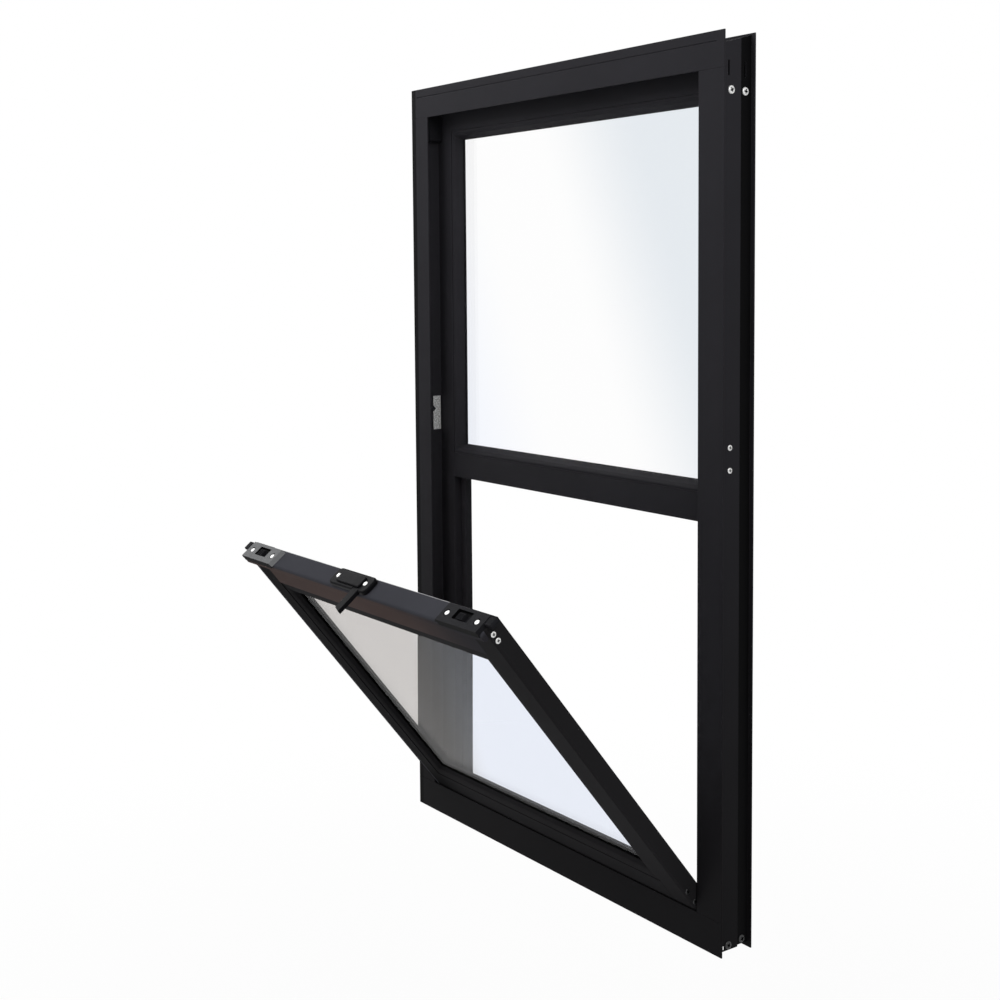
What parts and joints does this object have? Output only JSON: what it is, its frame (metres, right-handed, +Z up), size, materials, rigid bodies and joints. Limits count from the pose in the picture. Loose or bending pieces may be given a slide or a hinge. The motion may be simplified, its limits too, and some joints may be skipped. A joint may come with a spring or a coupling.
{
  "type": "single-hung tilt-in window",
  "caption": "Black single-hung window in its frame: fixed upper glass, and a lower sash tilted into the room, with tilt latches and a lever lock on its top rail.",
  "frame": {"origin": "middle of the sill's outdoor face, the flat that bears on the wall's stop; the frame's lowest edge is 18.5 mm below it and the room face 51 mm in front of it", "axes": "+X to the right seen from the room, +Y outdoors through the wall, +Z up"},
  "size_m": [0.67, 0.396, 1.1],
  "materials": {
    "frame_coat": "satin black powder coat on extruded aluminium",
    "sash_coat": "satin black powder coat on extruded aluminium",
    "bead_coat": "satin black powder coat on snap-in aluminium beads",
    "upper_pane": "clear float glass",
    "sash_pane": "clear float glass",
    "track_plastic": "matte dark grey moulded plastic",
    "latch_plastic": "matte black moulded plastic, finely textured",
    "lock_coat": "satin black paint on a zinc die casting",
    "clip_steel": "bright zinc-plated steel",
    "screw_steel": "bright zinc-plated steel"
  },
  "bodies": {
    "root": {"frame_head": "frame_coat", "frame_sill": "frame_coat", "left_jamb": "frame_coat", "right_jamb": "frame_coat", "meeting_rail": "frame_coat", "left_lower_stop": "frame_coat", "right_lower_stop": "frame_coat", "upper_bead_top": "bead_coat", "upper_bead_left": "bead_coat", "upper_bead_right": "bead_coat", "upper_bead_bottom": "bead_coat", "sash_bead_top": "bead_coat", "sash_bead_bottom": "bead_coat", "sash_bead_left": "bead_coat", "sash_bead_right": "bead_coat", "sash_top_rail": "sash_coat", "sash_bottom_rail": "sash_coat", "sash_left_stile": "sash_coat", "sash_right_stile": "sash_coat", "upper_glass": "upper_pane", "sash_glass": "sash_pane", "left_sash_stop": "track_plastic", "right_sash_stop": "track_plastic", "left_balance_shoe": "track_plastic", "right_balance_shoe": "track_plastic", "left_latch_housing": "latch_plastic", "right_latch_housing": "latch_plastic", "left_latch_slider": "latch_plastic", "right_latch_slider": "latch_plastic", "left_latch_bolt": "latch_plastic", "right_latch_bolt": "latch_plastic", "lock_base": "lock_coat", "lock_cover": "lock_coat", "lock_lever": "lock_coat", "left_balance_clip": "clip_steel", "right_balance_clip": "clip_steel", "left_pivot_bar": "clip_steel", "right_pivot_bar": "clip_steel", "frame_screws": "screw_steel", "sash_corner_screws": "screw_steel", "hardware_screws": "screw_steel"}
  },
  "joints": []
}
